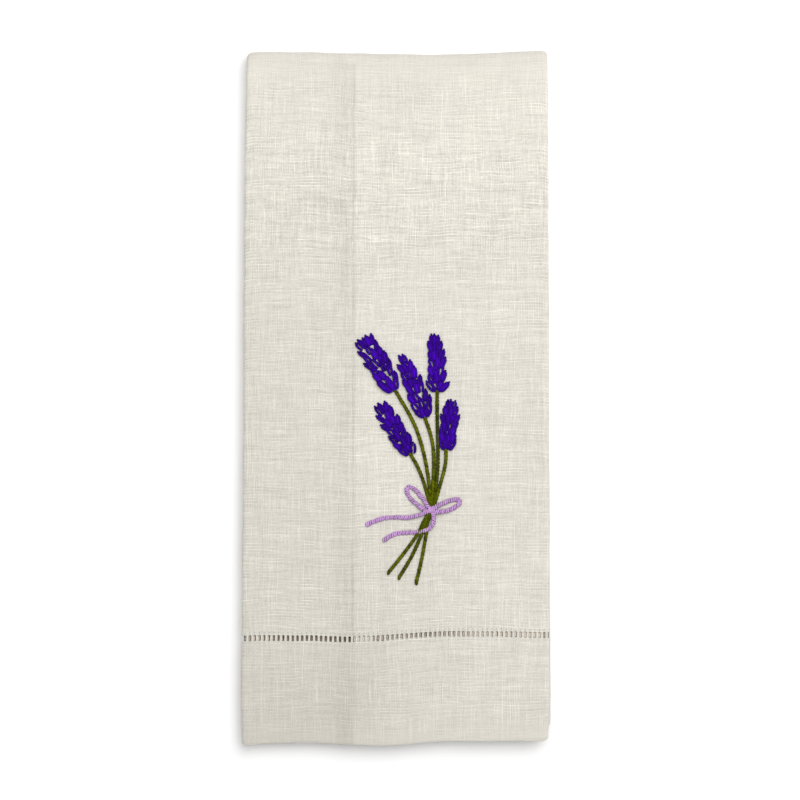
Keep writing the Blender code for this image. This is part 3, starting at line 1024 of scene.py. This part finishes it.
def body_rows():
    """The body's rows as (along, lift), from the ladder up the front, over the top and to the far end."""
    cloth = bpy.context.scene.towel_cloth
    turn = cloth.ply_pitch / 2
    start = cloth.hem_depth + cloth.ladder_height
    end_hem = cloth.length - cloth.end_hem
    top = (FRONT - TOP_BAND, FRONT, FRONT + TOP_FOLD)
    rows = [start, start + LADDER_STEPS[0]]
    rows += spread(
        (start + LADDER_STEPS[1], *top, *UNDER_LADDER, end_hem, cloth.length - turn),
        FACE_STEP,
        TOP_STEP,
        TOP_FOLD / TOP_FOLD_STEPS,
        HIDDEN_STEP,
        UNDER_LADDER_STEP,
        HIDDEN_STEP,
        END_HEM_STEP,
    )
    turned = [(cloth.length - inset, lift) for inset, lift in hem_turn()]
    inner = [(along, -cloth.ply_pitch) for along in np.linspace(cloth.length - turn, end_hem, 5)]
    return np.array([(along, 0.0) for along in rows] + turned + inner)


def hem_rows():
    """The deep hem's rows as (along, lift), from the ladder down the front, round its edge and up behind."""
    cloth = bpy.context.scene.towel_cloth
    turn = cloth.ply_pitch / 2
    rows = [cloth.hem_depth, cloth.hem_depth - LADDER_STEPS[0]]
    rows += spread((cloth.hem_depth - LADDER_STEPS[1], turn), FACE_STEP)
    raised = HEM_RIDGE["height"] * smooth((np.array(rows) - HEM_RIDGE["start"]) / HEM_RIDGE["fade"])
    behind = np.linspace(turn, cloth.hem_depth - BRIDGE_OVERLAP, 10)
    inner = [(along, -cloth.ply_pitch) for along in behind]
    return np.array(list(zip(rows, raised)) + hem_turn() + inner)


def bridge_rows():
    """Rows from the deep hem to the body, for the side hems, where no threads are drawn."""
    cloth = bpy.context.scene.towel_cloth
    above = np.linspace(-BRIDGE_OVERLAP, cloth.ladder_height + BRIDGE_OVERLAP, 5)
    return np.array([(cloth.hem_depth + along, -BRIDGE_DROP) for along in above])


class TOWEL_OT_cloth(bpy.types.Operator):
    """The folded linen, with its narrow side hems and the plain hem at its far end"""

    bl_idname = "towel.cloth"
    bl_label = "Linen"

    def execute(self, context):
        cloth = context.scene.towel_cloth
        across = columns()
        body = grids_mesh("linen_body", [sheet_grid(across, body_rows(), body_shade)])
        piece = add_piece("linen_body", body, linen_material("washed linen", WASHED_LINEN))
        near_hem, far_hem = across[:, 0] <= cloth.side_hem, across[:, 0] >= cloth.width - cloth.side_hem
        bridges = [sheet_grid(across[side], bridge_rows(), body_shade) for side in (near_hem, far_hem)]
        hem = grids_mesh("deep_hem", [sheet_grid(across, hem_rows(), body_shade), *bridges])
        hem_piece = add_piece("deep_hem", hem, linen_material("doubled linen", DOUBLED_LINEN))
        for made in (piece, hem_piece):
            solid = made.modifiers.new("linen thickness", "SOLIDIFY")
            solid.thickness = cloth.thickness
            solid.offset = 0.0
        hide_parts("towel")
        return {"FINISHED"}


# The drawn thread ladder and the sewing


def bundle_places():
    cloth = bpy.context.scene.towel_cloth
    first = cloth.side_hem + BUNDLE_START
    count = int((cloth.width - cloth.side_hem - first) / cloth.ladder_pitch)
    return first + cloth.ladder_pitch * np.arange(count + 1)


def laid_on_cloth(across, along, lift, radius, **options):
    """A block of strands laid through these places on the folded cloth."""
    across, along, lift = np.broadcast_arrays(across, along, lift)
    points = on_cloth(across, along, lift)
    return laid(points, radius, up=unit(on_cloth(across, along, lift + 0.5 * MM) - points), **options)


class TOWEL_OT_ladder(bpy.types.Operator):
    """The bundles of threads left standing where the crosswise threads were drawn out"""

    bl_idname = "towel.ladder"
    bl_label = "Ladder"

    def execute(self, context):
        cloth = context.scene.towel_cloth
        chance = np.random.default_rng(11)
        centres = bundle_places()[:, None, None]
        folded_in = (centres < RIGHT_FLAP) | (centres > LEFT_FLAP_START)
        centres = centres + folded_in * waves(centres, centres * 0, **BUNDLE_WANDER)
        count = len(centres)
        share = np.linspace(0, 1, 8)
        yarn = np.array((-1, 0, 1))[:, None]
        pinch = chance.uniform(0.7, 0.88, (count, 1, 1))
        lean = chance.uniform(-0.1, 0.1, (count, 1, 1)) * MM
        gather = 1 - (1 - pinch) * np.sin(math.pi * share)
        fold = RIGHT_FLAP + RIGHT_FOLD / 2
        fuller = np.where(centres < fold, FULLER["flap"], FULLER["face"])
        fuller = fuller * smooth((FULLER["reach"] - abs(centres - fold)) / FULLER["fade"])
        thinner = THINNER["by"] * np.exp(-(((fold - centres - THINNER["away"]) / THINNER["wide"]) ** 2))
        width = cloth.ladder_yarn * (1 + fuller - thinner)
        across = centres + yarn * width * gather + lean * (2 * share - 1)
        along = cloth.hem_depth - BUNDLE_GRIP + (cloth.ladder_height + 2 * BUNDLE_GRIP) * share
        lift = 0.05 * MM * (1 - abs(yarn)) + chance.uniform(-0.03, 0.03, (count, 3, 1)) * MM
        radius = np.repeat(width.ravel() / 2, 3)[:, None]
        across, along, lift = (a.reshape(-1, 8) for a in np.broadcast_arrays(across, along, lift))
        # The bundles folded in get the flaps' painted light too
        shade = chance.uniform(0.95, 1.04, count * 3) * painted_light(across, along)[:, 4]
        colours = context.scene.towel_colours
        outside = (across[:, 0] > RIGHT_FLAP) & (across[:, 0] < LEFT_FLAP_START)
        # The bundles folded in are given the painted warm shade colour
        rows = (("ladder", outside, colours.sewing), ("ladder_within", ~outside, colours.warm_hole_shade))
        for name, kept, colour in rows:
            places = (across[kept], along[kept], lift[kept])
            block = laid_on_cloth(*places, radius[kept], shade=shade[kept], sides=6, flat=0.85)
            sew(name, [block], floss_material("drawn yarn of " + name, colour, 0.5, 0.15))
        return {"FINISHED"}


class TOWEL_OT_hemstitch(bpy.types.Operator):
    """The white thread that gathers the ladder's bundles and sews the deep hem"""

    bl_idname = "towel.hemstitch"
    bl_label = "Hemstitch"

    def execute(self, context):
        cloth, stitches = context.scene.towel_cloth, context.scene.towel_stitches
        chance = np.random.default_rng(23)
        radius = stitches.sewing_thread / 2
        surface = cloth.thickness / 2
        centres = bundle_places()[:, None]
        blocks = []
        for edge, outward in ((cloth.hem_depth, -1), (cloth.hem_depth + cloth.ladder_height, 1)):
            wrap = np.linspace(-0.95, 0.95, 7)
            along = edge - outward * HEMSTITCH["outside"] + chance.uniform(-0.04, 0.04, centres.shape) * MM
            shade = chance.uniform(0.97, 1.04, len(centres))
            across = centres + wrap * 0.5 * cloth.ladder_pitch
            lift = surface * 0.9 - HEMSTITCH["bend"] * wrap**2
            blocks.append(laid_on_cloth(across, along, lift, radius * 1.3, shade=shade, sides=6))
            reach = np.linspace(-0.15, 0.85, 6)
            slant = chance.uniform(-0.08, 0.08, centres.shape) * MM
            across = centres + 0.5 * cloth.ladder_pitch + slant * reach
            lift = surface + radius * 0.5 - HEMSTITCH["dive"] * np.clip(reach - 0.45, 0, 1) ** 1.5
            along = edge + outward * reach * MM
            blocks.append(laid_on_cloth(across, along, lift, radius, shade=shade, sides=6))
        thread = floss_material("white sewing thread", context.scene.towel_colours.sewing, 0.8, 0.15)
        sew("hemstitch", blocks, thread)
        return {"FINISHED"}


class TOWEL_OT_hem_sewing(bpy.types.Operator):
    """The small stitches along the side hems and the plain hem at the far end"""

    bl_idname = "towel.hem_sewing"
    bl_label = "Hem sewing"

    def execute(self, context):
        cloth, stitches = context.scene.towel_cloth, context.scene.towel_stitches
        radius = stitches.sewing_thread / 2
        inset = cloth.side_hem - SEWING["inset"]
        start, end = SEWING["start"], SEWING["end"]
        share = np.linspace(-0.5, 0.5, 5)
        arch = cloth.thickness / 2 + radius * (0.9 - 6 * share**2)
        sewn = share * stitches.sewing_step * 0.72
        lengthwise = np.arange(start, cloth.length - end, stitches.sewing_step)[:, None] + sewn
        crosswise = np.arange(start, cloth.width - end, stitches.sewing_step)[:, None] + sewn
        end_hem = cloth.length - cloth.end_hem + SEWING["inset"]
        blocks = [
            laid_on_cloth(inset, lengthwise, arch, radius, sides=5),
            laid_on_cloth(cloth.width - inset, lengthwise, arch, radius, sides=5),
            laid_on_cloth(crosswise, end_hem, arch * 0.6, radius, sides=5),
        ]
        sew("hem_sewing", blocks, floss_material("hem thread", context.scene.towel_colours.sewing, 0.8, 0.15))
        return {"FINISHED"}


# The embroidery


def head_stitches(row, chance):
    """One head's petals, each a loop of floss drawn to a point and caught down there by a small stitch."""
    stitches = bpy.context.scene.towel_stitches
    base = np.array((row["x1"], row["y1"])) * MM
    tip = np.array((row["x2"], row["y2"])) * MM
    run = np.linalg.norm(tip - base)
    forward = (tip - base) / run
    aside = np.array((-forward[1], forward[0]))
    half = row["width"] * MM / 2
    radius = stitches.floss / 2
    share = np.linspace(0, 1, 11)
    belly = np.sin(math.pi * share**0.9) ** 0.55
    caught = np.linspace(-1.0, 0.05, 6)
    loops, swells, loop_shades, ties, tie_shades = [], [], [], [], []
    last = row["rings"] - 1
    for ring in range(last, -1, -1):
        part = ring / last
        reach = (run - 0.92 * stitches.petal_length) * part
        bow = row["bow"] * MM * math.sin(math.pi * part)
        room = 1 + (row["tip"] - 1) * part**1.3
        leans = row["tip_leans"] if ring == last else RING_LEANS[ring % len(RING_LEANS)]
        for number, lean in enumerate(leans):
            lean = lean * (row["base"] if ring == 0 else 1.0)
            angle = math.radians(lean * room**0.5 + chance.uniform(-7, 7))
            direction = forward * math.cos(angle) - aside * math.sin(angle)
            across = np.array((-direction[1], direction[0]))
            size = stitches.petal_length * chance.uniform(0.88, 1.1) * (1 - 0.12 * part)
            width = stitches.petal_width * chance.uniform(0.88, 1.12) * (1 - 0.15 * part)
            outward = (half - width / 2 - 0.3 * size) * room * -lean / 24 * (0.4 if ring == 0 else 1.0)
            start = base + forward * (reach + chance.uniform(-0.45, 0.4) * MM) + aside * (bow + outward)
            level = radius * 0.14 * (last - ring) + radius * 0.25 * (number % 2)
            shade = row["shade"] * chance.uniform(0.8, 1.3)
            for hand in (0, -1, 1) if chance.random() < 0.6 else (-1, 1):
                out = hand * (0.14 * MM + (width / 2 - radius) * belly)
                flat_points = start + direction * (share * (size - radius))[:, None] + across * out[:, None]
                height = level + radius * (0.2 + 0.5 * np.sin(math.pi * share)) + 0.02 * MM * hand
                height = height - (0.3 * radius if hand == 0 else 0.0)
                loops.append(on_face(flat_points, height))
                swells.append(radius * (0.84 + 0.16 * belly))
                # The middle strand (hand 0) is painted 1.9 times lighter, a painted highlight along the petal
                loop_shades.append(shade * (chance.uniform(0.9, 1.08) if hand else 1.9))
            flat_points = start + direction * (size + caught * MM)[:, None]
            ties.append(on_face(flat_points, level + radius * (0.85 - 0.45 * (caught + 0.2) ** 2)))
            # Each tie is painted darker, as painted shade at the petal's drawn-down tip
            tie_shades.append(shade * 0.75)
    return [
        laid(loops, np.array(swells), shade=loop_shades, flat=0.75, blunt=0.85, edge=0.18, end=0.5),
        laid(ties, radius * 0.8, shade=tie_shades, flat=0.8, blunt=0.8, edge=0.6),
    ]


class TOWEL_OT_heads(bpy.types.Operator):
    """The lavender heads, each of looped petals"""

    bl_idname = "towel.heads"
    bl_label = "Lavender heads"

    def execute(self, context):
        violet = floss_material("violet floss", context.scene.towel_colours.petals, 0.9, 0.9)
        for number, row in enumerate(HEADS, start=1):
            name = f"lavender_head_{number}"
            sew(name, head_stitches(row, random.Random(100 + number)), violet)
        return {"FINISHED"}


class TOWEL_OT_stems(bpy.types.Operator):
    """The stems, in stem stitch, gathered under the bow's knot and fanned out below it"""

    bl_idname = "towel.stems"
    bl_label = "Stems"

    def execute(self, context):
        stitches = context.scene.towel_stitches
        chance = np.random.default_rng(41)
        stitch = stitches.stem_step * 2.0
        radius = stitches.stem_width * 0.43
        share = np.linspace(-0.5, 0.5, 7)
        flat_points, shades = [], []
        for row in STEMS:
            path = smooth_path(np.array(row["points"]) * MM, STEM_PATH_STEP)
            centres = np.arange(stitch * 0.4, path_length(path) - stitch * 0.3, stitches.stem_step)[:, None]
            points, side = walk(path, centres + share * stitch)
            slant = stitches.stem_width * 0.55 * share * chance.uniform(0.7, 1.3, centres.shape)
            flat_points.append(points + side * slant[..., None])
            shades.append(row["shade"] * chance.uniform(0.55, 1.5, len(centres)))
        flat_points, shade = np.concatenate(flat_points), np.concatenate(shades)
        points = on_face(flat_points, radius * (0.25 + 0.7 * np.cos(math.pi * share)))
        block = laid(points, radius, shade=shade, flat=0.9, blunt=0.75, edge=0.35, end=0.3)
        green = floss_material("green floss", context.scene.towel_colours.stems, 0.9, 0.9)
        sew("lavender_stems", [block], green)
        return {"FINISHED"}


def bow_height(points):
    """How far the bow is raised: it lies on the stems where it crosses them."""
    middle_of_rise = np.array((KNOT["x"], KNOT["y"] - BOW_RISE["below"])) * MM
    away = np.linalg.norm(points - middle_of_rise, axis=-1)
    return BOW_RISE["height"] * smooth(1 - away / BOW_RISE["reach"])


class TOWEL_OT_bow(bpy.types.Operator):
    """The lilac bow: two loops, two tails and the knot over the stems"""

    bl_idname = "towel.bow"
    bl_label = "Bow"

    def execute(self, context):
        stitches = context.scene.towel_stitches
        chance = np.random.default_rng(67)
        radius = stitches.bow_step * 0.46
        half = stitches.bow_width / 2
        share = np.linspace(-1, 1, 7)
        blocks, flat_points = [], []
        for way in (LEFT_LOOP, RIGHT_LOOP, LEFT_TAIL, LOWER_TAIL):
            path = smooth_path(np.array(way) * MM, BOW_PATH_STEP)
            core = on_face(path[None], bow_height(path[None]) + 0.02 * MM)
            # The padding cord under the stitches is painted darker, as the shade seen between them
            blocks.append(laid(core, half * 0.72, shade=0.7, flat=0.35))
            centres = np.arange(0.2 * MM, path_length(path), stitches.bow_step)[:, None]
            centres = centres + chance.uniform(-0.14, 0.14, centres.shape) * stitches.bow_step
            slant = chance.uniform(0.35, 0.85, centres.shape) * stitches.bow_step
            points, side = walk(path, centres + share * slant)
            reach = half * share * chance.uniform(0.8, 1.14, centres.shape)
            flat_points.append(points + side * reach[..., None])
        flat_points = np.concatenate(flat_points)
        height = bow_height(flat_points) + radius * (1.15 - 0.85 * share**2)
        shade = chance.uniform(0.82, 1.14, len(flat_points))
        blocks.append(laid(on_face(flat_points, height), radius, shade=shade, flat=0.9, blunt=0.9, edge=0.32))
        count = KNOT["stitches"]
        x = KNOT["x"] + KNOT["width"] * np.linspace(-0.4, 0.4, count)[:, None]
        y = KNOT["y"] + np.linspace(-1, 1, 9) * KNOT["height"] / 2
        knot = np.stack(np.broadcast_arrays(x, y), axis=-1) * MM
        height = bow_height(knot) + radius * (2.2 - 1.2 * np.linspace(-1, 1, 9) ** 2)
        shade = chance.uniform(0.84, 1.0, count)
        blocks.append(laid(on_face(knot, height), KNOT["width"] * MM * 0.17, shade=shade, flat=0.8))
        lilac = floss_material("lilac floss", context.scene.towel_colours.bow, 0.9, 0.5)
        sew("ribbon_bow", blocks, lilac)
        return {"FINISHED"}


# The stage

MM_PER_PIXEL = 0.411  # at the towel's face, in the 800 pixel frame
FRAME_PIXELS = 800
FRAME_CENTRE = (1.6 * MM, -1.0 * MM)
CAMERA_HEIGHT = 1.3
SENSOR = 36.0
FLOOR_SIZE = 3.0
# The soft lights, each aimed at the towel's middle
LIGHTS = table(
    "name at size power",
    ("window", (0.34, 0.44, 1.04), 1.2, 13.0),
    ("fill", (-0.5, -0.3, 1.1), 1.2, 1.5),
)
WORLD_STRENGTH = 0.5


class TOWEL_OT_stage(bpy.types.Operator):
    """The pale floor, the soft lights and the camera straight above"""

    bl_idname = "towel.stage"
    bl_label = "Stage"

    def execute(self, context):
        scene = context.scene
        shape = bmesh.new()
        bmesh.ops.create_grid(shape, x_segments=1, y_segments=1, size=FLOOR_SIZE / 2)
        mesh = bpy.data.meshes.new("floor")
        shape.to_mesh(mesh)
        shape.free()
        floor = bpy.data.objects.new("floor", mesh)
        scene.collection.objects.link(floor)
        paper = bpy.data.materials.new("pale floor")
        paper.use_nodes = True
        shader = paper.node_tree.nodes["Principled BSDF"]
        set_inputs(shader, {"Base Color": (*scene.towel_colours.floor, 1.0)})
        set_inputs(shader, {"Roughness": 0.9, "Specular IOR Level": 0.1})
        mesh.materials.append(paper)

        world = bpy.data.worlds.new("studio")
        world.use_nodes = True
        background = world.node_tree.nodes["Background"]
        set_inputs(background, {"Color": (1.0, 1.0, 1.0, 1.0), "Strength": WORLD_STRENGTH})
        scene.world = world
        for row in LIGHTS:
            data = bpy.data.lights.new(row["name"], "AREA")
            data.shape = "SQUARE"
            data.size = row["size"]
            data.energy = row["power"]
            light = bpy.data.objects.new(row["name"], data)
            light.location = row["at"]
            light.rotation_euler = (-Vector(row["at"])).to_track_quat("-Z", "Y").to_euler()
            light.visible_camera = False
            scene.collection.objects.link(light)

        camera_data = bpy.data.cameras.new("camera")
        camera_data.sensor_width = SENSOR
        frame_width = MM_PER_PIXEL * MM * FRAME_PIXELS
        camera_data.lens = SENSOR * (CAMERA_HEIGHT - STACK_HEIGHT) / frame_width
        camera = bpy.data.objects.new("camera", camera_data)
        camera.location = (*FRAME_CENTRE, CAMERA_HEIGHT)
        scene.collection.objects.link(camera)
        scene.camera = camera
        scene.view_settings.view_transform = "Standard"
        return {"FINISHED"}


class TOWEL_PT_panel(bpy.types.Panel):
    """The towel's sizes and colours, and a button for each group of pieces"""

    bl_idname = "TOWEL_PT_panel"
    bl_label = "Tea towel"
    bl_space_type = "VIEW_3D"
    bl_region_type = "UI"
    bl_category = "Tea towel"

    def draw(self, context):
        scene = context.scene
        for settings in (scene.towel_cloth, scene.towel_stitches, scene.towel_colours):
            box = self.layout.box()
            for name in settings.__annotations__:
                box.prop(settings, name)
        for operator in OPERATORS:
            self.layout.operator(operator.bl_idname)


OPERATORS = (
    TOWEL_OT_stage,
    TOWEL_OT_cloth,
    TOWEL_OT_ladder,
    TOWEL_OT_hemstitch,
    TOWEL_OT_hem_sewing,
    TOWEL_OT_heads,
    TOWEL_OT_stems,
    TOWEL_OT_bow,
)
CLASSES = (TowelClothSizes, TowelStitchSizes, TowelColours, *OPERATORS, TOWEL_PT_panel)


def register():
    for cls in CLASSES:
        bpy.utils.register_class(cls)
    bpy.types.Scene.towel_cloth = bpy.props.PointerProperty(type=TowelClothSizes)
    bpy.types.Scene.towel_stitches = bpy.props.PointerProperty(type=TowelStitchSizes)
    bpy.types.Scene.towel_colours = bpy.props.PointerProperty(type=TowelColours)


def unregister():
    del bpy.types.Scene.towel_colours
    del bpy.types.Scene.towel_stitches
    del bpy.types.Scene.towel_cloth
    for cls in reversed(CLASSES):
        bpy.utils.unregister_class(cls)


def main():
    register()
    bpy.ops.towel.stage()
    bpy.ops.towel.cloth()
    bpy.ops.towel.ladder()
    bpy.ops.towel.hemstitch()
    bpy.ops.towel.hem_sewing()
    bpy.ops.towel.heads()
    bpy.ops.towel.stems()
    bpy.ops.towel.bow()


if __name__ == "__main__":
    main()
